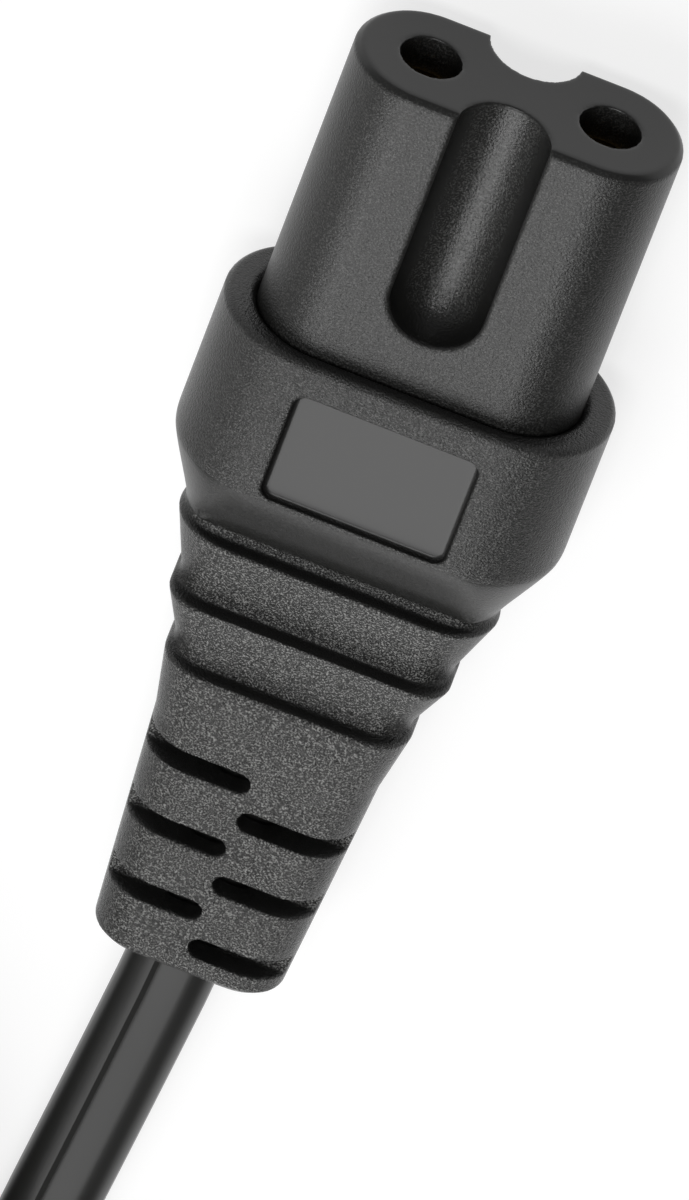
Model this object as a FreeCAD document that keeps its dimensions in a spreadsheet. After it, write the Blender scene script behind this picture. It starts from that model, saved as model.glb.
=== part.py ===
import FreeCAD, Part
import math
import os
import re

import Sketcher

Vec = FreeCAD.Vector
doc = FreeCAD.newDocument("figure_eight_connector")

# Driving dimensions in millimetres. Lengths and setbacks run from the nose tip towards the cord.
sizes = {
    # nose and its two pin holes
    "pinSpacing": 8.6,
    "pinHoleDiameter": 2.9,
    "noseThickness": 7.05,
    "noseLength": 15.15,
    "noseTipChamfer": 0.3,
    "grooveRadius": 2.2,
    "grooveLength": 12.5,
    "grooveLipChamfer": 0.15,
    # hidden rear of the nose, held in the overmould
    "noseSeat": 1.2,
    "frontWall": 2.0,
    "insertWall": 0.8,
    "insertTailLength": 7.4,
    "ribHeight": 0.75,
    "ribSetback": 3.6,
    "ribLength": 1.4,
    # shell of the overmould and its bare label panel
    "sideLedge": 1.555,
    "faceLedge": 1.035,
    "shellLength": 8.2,
    "ledgeRimChamfer": 0.25,
    "nosePocketChamfer": 0.3,
    "panelWidth": 8.9,
    "panelLength": 6.1,
    "panelDepth": 0.45,
    "panelCorner": 0.6,
    "panelSetback": 1.75,
    # shoulder, necks and collars
    "shoulderLength": 3.85,
    "shoulderRound": 3.0,
    "shoulderWidth": 15.2,
    "neckThickness": 4.16,
    "neckLength": 0.5,
    "collarRimChamfer": 0.15,
    "collarCorner": 1.8,
    "firstCollarLength": 3.4,
    "firstCollarFrontWidth": 15.68,
    "firstCollarFrontThick": 5.96,
    "firstCollarRearWidth": 13.4,
    "secondCollarLength": 3.0,
    "secondCollarFrontWidth": 13.86,
    "secondCollarFrontThick": 5.6,
    "secondCollarRearWidth": 11.7,
    "secondCollarRearThick": 4.0,
    # strain relief and its slots
    "connectorLength": 52.0,
    "reliefFrontWidth": 12.15,
    "reliefFrontThickness": 5.8,
    "reliefWaistSetback": 3.6,
    "reliefWaistWidth": 10.96,
    "reliefWaistThickness": 5.5,
    "reliefRearWidth": 9.24,
    "reliefRearThickness": 4.7,
    "reliefCorner": 2.2,
    "reliefEndChamfer": 0.5,
    "slotWidth": 1.1,
    "slotPitch": 4.0,
    "slotStagger": 2.0,
    "lastSlotSetback": 1.95,
    "slotWeb": 1.9,
    # contacts, conductors and cores
    "contactDiameter": 3.4,
    "contactClearance": 0.05,
    "contactBore": 2.4,
    "contactBoreLength": 10.5,
    "contactTubeLength": 11.5,
    "contactSlitWidth": 0.5,
    "contactSlitLength": 8.5,
    "contactNeckLength": 1.4,
    "crimpDiameter": 2.1,
    "crimpLength": 4.2,
    "conductorDiameter": 0.95,
    "coreDiameter": 1.6,
    "coreGap": 0.2,
    "insulationGap": 0.6,
    "coreBendLength": 7.0,
    "coreStraightLength": 3.0,
    # cord, coil and tie
    "cordWidth": 4.42,
    "cordThickness": 2.8,
    "coilCentreX": -32.9,
    "coilCentreY": -62.0,
    "coilOuterRadius": 32.2,
    "coilInnerRadius": 16.6,
    "coilHeight": 9.0,
    "coilEntryLength": 11.0,
    "tieAngle": 60.0,
    "tieWidth": 4.0,
    "tieThickness": 0.5,
    "tieSlack": 0.2,
    "tieEndDiameter": 1.5,
    "tieEndLength": 9.0,
    # mains plug, lying on the coil
    "plugAxisX": -50.9,
    "plugFaceY": -31.0,
    "plugWidth": 35.3,
    "plugThickness": 13.7,
    "plugFrontLength": 10.0,
    "plugEdgeChamfer": 2.0,
    "plugFaceChamfer": 0.8,
    "plugTaperLength": 18.5,
    "plugNeckWidth": 10.5,
    "plugReliefLength": 9.5,
    "plugReliefWidth": 7.4,
    "plugReliefThickness": 5.4,
    "plugReliefChamfer": 0.5,
    "plugPinSpacing": 18.6,
    "plugPinDiameter": 4.0,
    "plugPinLength": 19.0,
    "plugPinTipLength": 1.6,
    "plugPinTipDiameter": 2.2,
    "plugPinNeckDiameter": 3.0,
    "plugPinRearLength": 11.0,
    "plugPinCupDepth": 3.5,
    "sleeveDiameter": 3.6,
    "sleeveLength": 10.0,
    "sleeveRootLength": 1.6,
    "bridgeWall": 2.4,
    "bridgeLength": 7.0,
    "plugCoreBendLength": 8.0,
}

# Sizes that follow from those. Names ending in At are distances from the nose tip or the plug's face.
derived_sizes = {
    "noseWidth": "pinSpacing + noseThickness",
    "chamberDiameter": "contactDiameter + 2 * contactClearance",
    "insertTailThickness": "chamberDiameter + 2 * insertWall",
    "insertTailWidth": "pinSpacing + insertTailThickness",
    "ribWidth": "insertTailWidth + 2 * ribHeight",
    "ribThickness": "insertTailThickness + 2 * ribHeight",
    "ribAt": "noseLength + ribSetback",
    "insertRearAt": "noseLength + insertTailLength",
    "bodyWidth": "noseWidth + 2 * sideLedge",
    "bodyThickness": "noseThickness + 2 * faceLedge",
    "pocketMouthWidth": "noseWidth + 2 * nosePocketChamfer",
    "pocketMouthThickness": "noseThickness + 2 * nosePocketChamfer",
    "pocketThroatAt": "noseLength + nosePocketChamfer",
    "shoulderAt": "noseLength + shellLength",
    "firstNeckAt": "shoulderAt + shoulderLength",
    "shoulderDraw": "(bodyWidth - shoulderWidth) / 2",
    "firstCollarAt": "firstNeckAt + neckLength",
    "firstCollarDraw": "(firstCollarFrontWidth - firstCollarRearWidth) / 2",
    "firstCollarRearThick": "firstCollarFrontThick - 2 * firstCollarDraw",
    "secondNeckAt": "firstCollarAt + firstCollarLength",
    "secondCollarAt": "secondNeckAt + neckLength",
    "thirdNeckAt": "secondCollarAt + secondCollarLength",
    "reliefAt": "thirdNeckAt + neckLength",
    "reliefWaistAt": "reliefAt + reliefWaistSetback",
    "slotReach": "reliefFrontWidth",
    "contactNeckAt": "frontWall + contactTubeLength",
    "crimpAt": "contactNeckAt + contactNeckLength",
    "insulationAt": "crimpAt + crimpLength + insulationGap",
    "coreMergeAt": "insertRearAt + coreBendLength",
    "jacketAt": "coreMergeAt + coreStraightLength",
    "plugRearAt": "plugFrontLength + plugTaperLength",
    "plugLength": "plugRearAt + plugReliefLength",
    "bridgeThickness": "sleeveDiameter + 2 * bridgeWall",
    "bridgeWidth": "plugPinSpacing + bridgeThickness",
    "plugPinCupAt": "plugPinRearLength - plugPinCupDepth",
    "plugInsulationAt": "plugPinRearLength + insulationGap",
    "plugCoreBendAt": "plugInsulationAt + coreStraightLength",
    "plugCoreMergeAt": "plugCoreBendAt + plugCoreBendLength",
    "plugJacketAt": "plugCoreMergeAt + coreStraightLength",
}

sheet = doc.addObject("Spreadsheet::Sheet", "dims")
for row, (alias, number) in enumerate(sizes.items(), start=1):
    sheet.set(f"A{row}", alias)
    sheet.set(f"B{row}", str(number))
    sheet.setAlias(f"B{row}", alias)
derived = doc.addObject("App::VarSet", "derived")


def bind(thing, prop, formula):
    # A formula names sizes in camelCase.
    def owner(match):
        return ("dims." if match[0] in sizes else "derived.") + match[0]

    thing.setExpression(prop, re.sub(r"\b[a-z]+[A-Z]\w*", owner, formula))


def mm(name):
    return float(sheet.get(name) if name in sizes else getattr(derived, name))


for name, formula in derived_sizes.items():
    derived.addProperty("App::PropertyFloat", name)
    bind(derived, name, formula)
doc.recompute()

# Two frames: the middle of the nose tip, and the middle of the plug's face
connector = {"x": "0", "y": "connectorLength / 2", "z": "bodyThickness / 2"}
plug = {"x": "plugAxisX", "y": "plugFaceY", "z": "coilHeight + plugThickness / 2"}
sides = {"left": -1, "right": 1}
subparts = []


def place(thing, frame, x="0", station="0"):
    bind(thing, "Placement.Base.x", f"{frame['x']} + {x}")
    bind(thing, "Placement.Base.y", f"{frame['y']} - ({station})")
    bind(thing, "Placement.Base.z", frame["z"])
    return thing


def finish(thing, label):
    thing.Label = label
    subparts.append(thing)
    return thing


# Sketches and the features that use them


def new_body(name, frame):
    return place(doc.addObject("PartDesign::Body", name), frame)


def origin_part(body, role):
    return next(f for f in body.Origin.OriginFeatures if f.Role == role)


def sketch_on(body, name, role, offset):
    sketch = body.newObject("Sketcher::SketchObject", name)
    sketch.AttachmentSupport = [(origin_part(body, role), "")]
    sketch.MapMode = "FlatFace"
    for axis, formula in zip("xyz", offset):
        bind(sketch, f"AttachmentOffset.Base.{axis}", formula)
    return sketch


def constrain(sketch, *rules):
    # A rule is a constraint's parts, and a formula for those that measure.
    for *parts, formula in rules:
        number = sketch.addConstraint(Sketcher.Constraint(*parts))
        if formula:
            bind(sketch, f"Constraints[{number}]", formula)


def obround(sketch, width, thickness, length_formula, thickness_formula):
    # Two straight sides along the sketch's x axis, and two half round ends.
    radius = thickness / 2
    right = Vec((width - thickness) / 2, 0, 0)
    up, normal, quarter = Vec(0, radius, 0), Vec(0, 0, 1), math.pi / 2
    sketch.addGeometry([
        Part.LineSegment(up - right, up + right),
        Part.ArcOfCircle(Part.Circle(right, normal, radius), -quarter, quarter),
        Part.LineSegment(right - up, Vec() - right - up),
        Part.ArcOfCircle(Part.Circle(Vec() - right, normal, radius), quarter, 3 * quarter),
    ])
    constrain(
        sketch,
        ("Tangent", 0, 2, 1, 2, None),
        ("Tangent", 1, 1, 2, 1, None),
        ("Tangent", 2, 2, 3, 2, None),
        ("Tangent", 3, 1, 0, 1, None),
        ("Equal", 1, 3, None),
        ("PointOnObject", 1, 3, -1, None),
        ("Symmetric", 1, 3, 3, 3, -1, 1, None),
        ("Radius", 1, radius, f"({thickness_formula}) / 2"),
        ("DistanceX", 3, 3, 1, 3, 2 * right.x, f"({length_formula}) - ({thickness_formula})"),
    )
    return sketch


def stadium(body, name, station, width, thickness):
    # A cross-section of a moulding, square to its axis.
    sketch = sketch_on(body, name, "XZ_Plane", ("0", "0", station))
    return obround(sketch, mm(width), mm(thickness), width, thickness)


def rounded_section(body, name, station, width, thickness, corner):
    sketch = sketch_on(body, name, "XZ_Plane", ("0", "0", station))
    return rounded_rectangle(sketch, width, thickness, corner)


def circle_pair(body, name, station, diameter, spacing):
    sketch = sketch_on(body, name, "XZ_Plane", ("0", "0", station))
    radius, half = mm(diameter) / 2, Vec(mm(spacing) / 2, 0, 0)
    sketch.addGeometry([Part.Circle(middle, Vec(0, 0, 1), radius) for middle in (half, Vec() - half)])
    constrain(
        sketch,
        ("Equal", 0, 1, None),
        ("PointOnObject", 0, 3, -1, None),
        ("Symmetric", 0, 3, 1, 3, -1, 1, None),
        ("Radius", 0, radius, f"{diameter} / 2"),
        ("DistanceX", 1, 3, 0, 3, 2 * half.x, spacing),
    )
    return sketch


def rounded_rectangle(sketch, width, length, corner):
    radius, quarter = mm(corner), math.pi / 2
    right = Vec(mm(width) / 2 - radius, 0, 0)
    up = Vec(0, mm(length) / 2 - radius, 0)
    out, above = Vec(radius, 0, 0), Vec(0, radius, 0)
    centres = [up - right, up + right, right - up, Vec() - right - up]
    offsets = [above, out, Vec() - above, Vec() - out]
    for k, offset in enumerate(offsets):
        sketch.addGeometry(Part.LineSegment(centres[k] + offset, centres[(k + 1) % 4] + offset))
    for k, centre in enumerate(centres):
        first = (5 - k) % 4 * quarter
        circle = Part.Circle(centre, Vec(0, 0, 1), radius)
        sketch.addGeometry(Part.ArcOfCircle(circle, first, first + quarter))
    constrain(
        sketch,
        *(("Tangent", k, 1, 4 + k, 1, None) for k in range(4)),
        *(("Tangent", k, 2, 4 + (k + 1) % 4, 2, None) for k in range(4)),
        *(("Horizontal", k, None) for k in (0, 2)),
        *(("Vertical", k, None) for k in (1, 3)),
        *(("Equal", 4, k, None) for k in (5, 6, 7)),
        ("Symmetric", 5, 3, 7, 3, -1, 1, None),
        ("Radius", 4, radius, corner),
        ("DistanceX", 4, 3, 5, 3, 2 * right.x, f"{width} - 2 * {corner}"),
        ("DistanceY", 7, 3, 4, 3, 2 * up.y, f"{length} - 2 * {corner}"),
    )
    return sketch


def feature(body, kind, name, profile, length=None):
    made = body.newObject(f"PartDesign::{kind}", name)
    made.Profile = profile
    if length:
        bind(made, "Length", length)
    return made


def pad(body, name, profile, length):
    return feature(body, "Pad", name, profile, length)


def tapered_pad(body, name, profile, length, draw):
    # A pad that narrows by the same draw on every side.
    made = pad(body, name, profile, length)
    bind(made, "TaperAngle", f"-atan(({draw}) / ({length}))")
    return made


def bore(body, name, profile, length):
    # A pocket from the profile towards the cord.
    made = feature(body, "Pocket", name, profile, length)
    made.Reversed = True
    return made


def cut_across(body, name, profile):
    # A pocket right through the body on both sides of the profile.
    made = feature(body, "Pocket", name, profile)
    made.Type = "ThroughAll"
    made.Midplane = True
    return made


def mirror_to_back(body, name, original):
    made = body.newObject("PartDesign::Mirrored", name)
    made.Originals = [original]
    made.MirrorPlane = (origin_part(body, "XY_Plane"), [""])
    body.Tip = made
    return made


def loft(body, name, sections, kind="AdditiveLoft"):
    made = feature(body, kind, name, sections[0])
    made.Sections = sections[1:]
    made.Ruled = True
    return made


# An edge this near a plane lies on it
touching = 1e-4


def middle_of(edge):
    return edge.valueAt((edge.FirstParameter + edge.LastParameter) / 2)


def on_edges(body, kind, name, prop, size, chosen):
    doc.recompute()
    base = body.Tip
    made = body.newObject(f"PartDesign::{kind}", name)
    made.Base = (base, [f"Edge{k}" for k, edge in enumerate(base.Shape.Edges, start=1) if chosen(edge)])
    bind(made, prop, size)
    return made


def fillet(body, name, radius, chosen):
    return on_edges(body, "Fillet", name, "Radius", radius, chosen)


def chamfer(body, name, size, chosen):
    return on_edges(body, "Chamfer", name, "Size", size, chosen)


def outline_edges(station, width, thickness, corner=None, near=0.02):
    # Chooses the outline of one cross-section. Without a corner its ends are half round.
    radius = mm(corner) if corner else mm(thickness) / 2
    flat_x, flat_z = mm(width) / 2 - radius, mm(thickness) / 2 - radius

    def chosen(edge):
        box, middle = edge.BoundBox, middle_of(edge)
        if max(abs(box.YMin + mm(station)), abs(box.YMax + mm(station))) > near:
            return False
        beyond = math.hypot(max(abs(middle.x) - flat_x, 0), max(abs(middle.z) - flat_z, 0))
        return abs(beyond - radius) < near

    return chosen


# Plain solids along a frame's axis


def cylinder(name, frame, x, station, diameter, length):
    made = doc.addObject("Part::Cylinder", name)
    made.Placement.Rotation = FreeCAD.Rotation(Vec(1, 0, 0), 90)
    bind(made, "Radius", f"({diameter}) / 2")
    bind(made, "Height", length)
    return place(made, frame, x, station)


def cone(name, frame, x, station, front, rear, length):
    made = doc.addObject("Part::Cone", name)
    made.Placement.Rotation = FreeCAD.Rotation(Vec(1, 0, 0), 90)
    bind(made, "Radius1", f"({front}) / 2")
    bind(made, "Radius2", f"({rear}) / 2")
    bind(made, "Height", length)
    return place(made, frame, x, station)


def fuse(name, *shapes):
    made = doc.addObject("Part::MultiFuse", name)
    made.Shapes = list(shapes)
    return made


def cut(name, base, tool):
    made = doc.addObject("Part::Cut", name)
    made.Base, made.Tool = base, tool
    return made


# A cord's runs are joined by tangent arcs, each taking up a share of its shorter run
arc_share = 0.45


def rounded_path(points):
    edges, radii, start = [], [], points[0]
    for before, corner, after in zip(points, points[1:], points[2:]):
        into, out = corner - before, after - corner
        half_turn = into.getAngle(out) / 2
        setback = arc_share * min(into.Length, out.Length)
        radius = setback / math.tan(half_turn)
        into.normalize()
        out.normalize()
        inward = (out - into).normalize()
        arc_start, arc_end = corner - into * setback, corner + out * setback
        arc_middle = corner + inward * (radius / math.cos(half_turn) - radius)
        edges.append(Part.LineSegment(start, arc_start).toShape())
        edges.append(Part.Arc(arc_start, arc_middle, arc_end).toShape())
        radii.append(radius)
        start = arc_end
    edges.append(Part.LineSegment(start, points[-1]).toShape())
    return Part.Wire(edges), radii


def flat_section(at, ahead, width, thickness):
    # A cord's outline at one point, with its width level and each half round end made of three flats.
    across = Vec(0, 0, 1).cross(ahead).normalize()
    up = ahead.cross(across).normalize()
    x, z = width / 2, thickness / 2
    flat = z * math.tan(math.pi / 8)
    step = z - flat
    corners = [(x, flat), (x - step, z), (step - x, z), (-x, flat),
               (-x, -flat), (step - x, -z), (x - step, -z), (x, -flat)]
    ring = [at + across * a + up * b for a, b in corners]
    return Part.makePolygon(ring + ring[:1])


def sweep(path, section, mitred=False):
    pipe = Part.BRepOffsetAPI.MakePipeShell(path)
    pipe.setFrenetMode(False)
    if mitred:
        pipe.setTransitionMode(1)
    pipe.add(section)
    pipe.build()
    pipe.makeSolid()
    return pipe.shape()


def add_shape(name, shape, frame=None):
    made = doc.addObject("Part::Feature", name)
    made.Shape = shape
    if frame:
        place(made, frame)
    return made


def wire(points, diameter):
    # Straight runs with mitred corners. Its eight flats just fit inside the diameter.
    across_flats = diameter * math.cos(math.pi / 8)
    section = flat_section(points[0], points[1] - points[0], across_flats, across_flats)
    return sweep(Part.makePolygon(points), section, mitred=True)


def cord(name, points):
    # The section is level at the first point.
    path, radii = rounded_path(points)
    section = flat_section(points[0], points[1] - points[0], mm("cordWidth"), mm("cordThickness"))
    shape = sweep(path, section)
    swept_volume = Part.Face(section).Area * path.Length
    print(name, "arc radii", [round(r, 1) for r in radii], "length", round(path.Length, 1),
          "volume over section times length", round(shape.Volume / swept_volume, 4))
    return finish(add_shape(name, shape), name)


# Nose insert: figure eight nose, with a tail and a rib for the overmould to grip


def groove(body, name, face):
    # A half round groove from the tip with a ball end, turned about a line on the broad face.
    sketch = sketch_on(body, f"{name}_profile", "YZ_Plane", ("0", f"{face} * noseThickness / 2", "0"))
    radius, length, overrun = mm("grooveRadius"), mm("grooveLength"), mm("frontWall")
    ball = Vec(radius - length, 0, 0)
    sketch.addGeometry([
        Part.LineSegment(Vec(overrun, 0, 0), Vec(overrun, radius, 0)),
        Part.LineSegment(Vec(overrun, radius, 0), ball + Vec(0, radius, 0)),
        Part.ArcOfCircle(Part.Circle(ball, Vec(0, 0, 1), radius), math.pi / 2, math.pi),
        Part.LineSegment(Vec(-length, 0, 0), Vec(overrun, 0, 0)),
    ])
    constrain(
        sketch,
        ("Coincident", 0, 2, 1, 1, None),
        ("Tangent", 1, 2, 2, 1, None),
        ("Coincident", 2, 2, 3, 1, None),
        ("Coincident", 3, 2, 0, 1, None),
        ("Vertical", 0, None),
        ("Horizontal", 1, None),
        ("PointOnObject", 3, 1, -1, None),
        ("PointOnObject", 3, 2, -1, None),
        ("PointOnObject", 2, 3, -1, None),
        ("Radius", 2, radius, "grooveRadius"),
        ("DistanceX", 3, 1, -1, 1, length, "grooveLength"),
        ("DistanceX", -1, 1, 3, 2, overrun, "frontWall"),
    )
    made = feature(body, "Groove", name, sketch)
    made.ReferenceAxis = (sketch, ["H_Axis"])
    made.Angle = 360
    return made


insert = new_body("insert", connector)
nose_outline = stadium(insert, "nose_outline", "0", "noseWidth", "noseThickness")
pad(insert, "nose", nose_outline, "noseLength + noseSeat")
chamfer(insert, "tip_edge", "noseTipChamfer", lambda edge: edge.BoundBox.YMin > -touching)
for face_name, face in {"label": 1, "back": -1}.items():
    groove(insert, f"{face_name}_groove", face)


def groove_lip(edge, near=0.01):
    box = edge.BoundBox
    on_face = min(abs(abs(z) - mm("noseThickness") / 2) for z in (box.ZMin, box.ZMax)) < near
    inside = max(abs(box.XMin), abs(box.XMax)) < mm("grooveRadius") + near
    return on_face and box.ZLength < near and inside and box.YLength > near


chamfer(insert, "groove_lips", "grooveLipChamfer", groove_lip)
tail_outline = stadium(insert, "tail_outline", "noseLength", "insertTailWidth", "insertTailThickness")
pad(insert, "tail", tail_outline, "insertTailLength")
pad(insert, "rib", stadium(insert, "rib_outline", "ribAt", "ribWidth", "ribThickness"), "ribLength")
pin_circles = circle_pair(insert, "pin_circles", "0", "pinHoleDiameter", "pinSpacing")
bore(insert, "pin_holes", pin_circles, "frontWall")
chambers = circle_pair(insert, "chamber_circles", "frontWall", "chamberDiameter", "pinSpacing")
bore(insert, "chambers", chambers, "insertRearAt - frontWall")
finish(insert, "nose_insert")

# Contacts with their conductors and cores, one on each side


def side_x(sign, spacing):
    return f"{sign} * {spacing} / 2"


def add_contact(side, sign):
    x = side_x(sign, "pinSpacing")
    metal = fuse(
        f"contact_blank_{side}",
        cylinder(f"contact_tube_{side}", connector, x, "frontWall", "contactDiameter", "contactTubeLength"),
        cone(f"contact_neck_{side}", connector, x, "contactNeckAt", "contactDiameter", "crimpDiameter",
             "contactNeckLength"),
        cylinder(f"crimp_{side}", connector, x, "crimpAt", "crimpDiameter", "crimpLength"),
    )
    slit = doc.addObject("Part::Box", f"contact_slit_{side}")
    bind(slit, "Length", "contactSlitWidth")
    bind(slit, "Width", "contactSlitLength")
    bind(slit, "Height", "contactDiameter")
    place(slit, connector, f"{x} - contactSlitWidth / 2", "frontWall + contactSlitLength")
    space = fuse(
        f"contact_space_{side}",
        cylinder(f"contact_bore_{side}", connector, x, "frontWall", "contactBore", "contactBoreLength"),
        cylinder(f"crimp_bore_{side}", connector, x, "crimpAt", "conductorDiameter", "crimpLength"),
        slit,
    )
    finish(cut(f"contact_made_{side}", metal, space), f"contact_{side}")


def add_core(side, sign, prefix, frame, spacing, stations):
    # Copper from the crimp, and its insulation from a little further on, to the cord's jacket.
    wide, narrow = sign * mm(spacing) / 2, sign * (mm("coreDiameter") + mm("coreGap")) / 2
    copper_from, insulation_from, bend_from, bend_to, end = (mm(name) for name in stations)
    bend = [Vec(wide, -bend_from, 0), Vec(narrow, -bend_to, 0), Vec(narrow, -end, 0)]
    copper = wire([Vec(wide, -copper_from, 0), *bend], mm("conductorDiameter"))
    core = wire([Vec(wide, -insulation_from, 0), *bend], mm("coreDiameter"))
    finish(add_shape(f"{prefix}conductor_{side}", copper, frame), f"{prefix}conductor_{side}")
    finish(add_shape(f"{prefix}core_{side}", core.cut(copper), frame), f"{prefix}core_{side}")
    return add_shape(f"{prefix}core_way_{side}", core.fuse(copper), frame)


connector_hollows = [insert]
for side, sign in sides.items():
    add_contact(side, sign)
    stations = ("crimpAt", "insulationAt", "insertRearAt", "coreMergeAt", "jacketAt")
    connector_hollows.append(add_core(side, sign, "", connector, "pinSpacing", stations))
    x = side_x(sign, "pinSpacing")
    connector_hollows.append(cylinder(f"chamber_{side}", connector, x, "frontWall", "chamberDiameter",
                                      "insertRearAt - frontWall"))

# Cord: a lead to the coil, the coil's outer shape, and a tail to the plug. Points are chosen by hand.

axis_height = mm("bodyThickness") / 2
jacket_y = mm("connectorLength") / 2 - mm("jacketAt")
exit_y = -mm("connectorLength") / 2
coil_centre = Vec(mm("coilCentreX"), mm("coilCentreY"), 0)
coil_top = mm("coilHeight")
plug_height = coil_top + mm("plugThickness") / 2
plug_jacket_y = mm("plugFaceY") - mm("plugJacketAt")
plug_entry_y = mm("plugFaceY") - mm("plugLength")

lead = cord("cord_lead", [
    Vec(0, jacket_y, axis_height),
    Vec(0, exit_y + 4.5, axis_height),
    Vec(-1.05, exit_y - 11, 2.9),
    Vec(-2.15, mm("coilCentreY") + mm("coilEntryLength"), 1.6),
])
tail = cord("cord_tail", [
    Vec(mm("plugAxisX"), plug_jacket_y, plug_height),
    Vec(mm("plugAxisX"), plug_entry_y + 1.5, plug_height),
    coil_centre + Vec(-14.8, -20.1, coil_top + 5.1),
    coil_centre + Vec(-3.8, -30.2, coil_top + 3.0),
    coil_centre + Vec(11.0, -32.1, coil_top + 2.0),
    coil_centre + Vec(24.2, -25.2, coil_top + 1.7),
    coil_centre + Vec(31.1, -12.0, coil_top + 1.7),
])

# Connector overmould: shell, shoulder, two collars and slotted strain relief

block = new_body("moulded_block", connector)
pad(block, "shell", stadium(block, "ledge", "noseLength", "bodyWidth", "bodyThickness"), "shellLength")
shell_rear = ("shoulderAt", "bodyWidth", "bodyThickness")
shoulder_front = stadium(block, "shoulder_front", *shell_rear)
tapered_pad(block, "shoulder", shoulder_front, "shoulderLength", "shoulderDraw")
fillet(block, "shoulder_edge", "shoulderRound", outline_edges(*shell_rear))


def slope(body, name):
    # The label face falls from the shell to the neck, with the shoulder's round at its top.
    sketch = sketch_on(body, f"{name}_profile", "YZ_Plane", ("0", "0", "0"))
    radius, height = mm("shoulderRound"), mm("bodyThickness")
    corner = Vec(-mm("shoulderAt"), height / 2, 0)
    low = Vec(-mm("firstNeckAt"), mm("neckThickness") / 2, 0)
    turn = math.atan2(corner.y - low.y, corner.x - low.x)
    top = corner + Vec(radius * math.tan(turn / 2), 0, 0)
    above, quarter = Vec(0, height, 0), math.pi / 2
    circle = Part.Circle(top - Vec(0, radius, 0), Vec(0, 0, 1), radius)
    arc = Part.ArcOfCircle(circle, quarter, quarter + turn)
    sketch.addGeometry([
        Part.LineSegment(top, top + above),
        Part.LineSegment(top + above, Vec(low.x, top.y + height, 0)),
        Part.LineSegment(Vec(low.x, top.y + height, 0), low),
        Part.LineSegment(low, arc.EndPoint),
        arc,
    ])
    sketch.addGeometry(Part.Point(corner), True)
    constrain(
        sketch,
        ("Coincident", 0, 2, 1, 1, None),
        ("Coincident", 1, 2, 2, 1, None),
        ("Coincident", 2, 2, 3, 1, None),
        ("Tangent", 3, 2, 4, 2, None),
        ("Coincident", 4, 1, 0, 1, None),
        ("Vertical", 0, None),
        ("Horizontal", 1, None),
        ("Vertical", 2, None),
        ("Vertical", 4, 3, 4, 1, None),
        ("PointOnObject", 5, 1, 3, None),
        ("Radius", 4, radius, "shoulderRound"),
        ("DistanceX", 5, 1, -1, 1, -corner.x, "shoulderAt"),
        ("DistanceY", -1, 1, 5, 1, corner.y, "bodyThickness / 2"),
        ("DistanceX", 3, 1, -1, 1, -low.x, "firstNeckAt"),
        ("DistanceY", -1, 1, 3, 1, low.y, "neckThickness / 2"),
        ("DistanceY", -1, 1, 0, 1, top.y, "bodyThickness / 2"),
        ("DistanceY", 0, 1, 0, 2, height, "bodyThickness"),
    )
    return cut_across(body, name, sketch)


mirror_to_back(block, "back_slope", slope(block, "label_slope"))

first_neck = ("firstNeckAt", "shoulderWidth", "neckThickness")
pad(block, "first_neck", stadium(block, "first_neck_outline", *first_neck), "neckLength")
first_front = ("firstCollarAt", "firstCollarFrontWidth", "firstCollarFrontThick")
first_collar = stadium(block, "first_collar_front", *first_front)
tapered_pad(block, "first_collar", first_collar, "firstCollarLength", "firstCollarDraw")
second_neck = ("secondNeckAt", "firstCollarRearWidth", "firstCollarRearThick")
pad(block, "second_neck", stadium(block, "second_neck_outline", *second_neck), "neckLength")
second_front = ("secondCollarAt", "secondCollarFrontWidth", "secondCollarFrontThick", "collarCorner")
third_neck = ("thirdNeckAt", "secondCollarRearWidth", "secondCollarRearThick", "collarCorner")
loft(block, "second_collar", [
    rounded_section(block, "second_collar_front", *second_front),
    rounded_section(block, "second_collar_rear", *third_neck),
])
pad(block, "third_neck", rounded_section(block, "third_neck_outline", *third_neck), "neckLength")
relief_front = ("reliefAt", "reliefFrontWidth", "reliefFrontThickness", "reliefCorner")
relief_rear = ("connectorLength", "reliefRearWidth", "reliefRearThickness", "reliefCorner")
loft(block, "relief", [
    rounded_section(block, "relief_front", *relief_front),
    rounded_section(block, "relief_waist", "reliefWaistAt", "reliefWaistWidth", "reliefWaistThickness",
                    "reliefCorner"),
    rounded_section(block, "relief_rear", *relief_rear),
])
chamfer(block, "ledge_rim", "ledgeRimChamfer", outline_edges("noseLength", "bodyWidth", "bodyThickness"))
chamfer(block, "first_collar_rim", "collarRimChamfer", outline_edges(*first_front))
chamfer(block, "second_collar_rim", "collarRimChamfer", outline_edges(*second_front))
chamfer(block, "relief_rim", "collarRimChamfer", outline_edges(*relief_front))
chamfer(block, "relief_end", "reliefEndChamfer", outline_edges(*relief_rear))

# The nose stands in a pocket with a small chamfer round its mouth
loft(block, "nose_pocket", [
    stadium(block, "pocket_mouth", "noseLength", "pocketMouthWidth", "pocketMouthThickness"),
    stadium(block, "pocket_throat", "pocketThroatAt", "noseWidth", "noseThickness"),
], "SubtractiveLoft")

# Label panel: a shallow recess on the label face only, left bare
panel_sketch = sketch_on(block, "panel_outline", "XY_Plane",
                         ("0", "-(noseLength + panelSetback + panelLength / 2)", "bodyThickness / 2"))
rounded_rectangle(panel_sketch, "panelWidth", "panelLength", "panelCorner")
feature(block, "Pocket", "panel", panel_sketch, "panelDepth")

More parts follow.
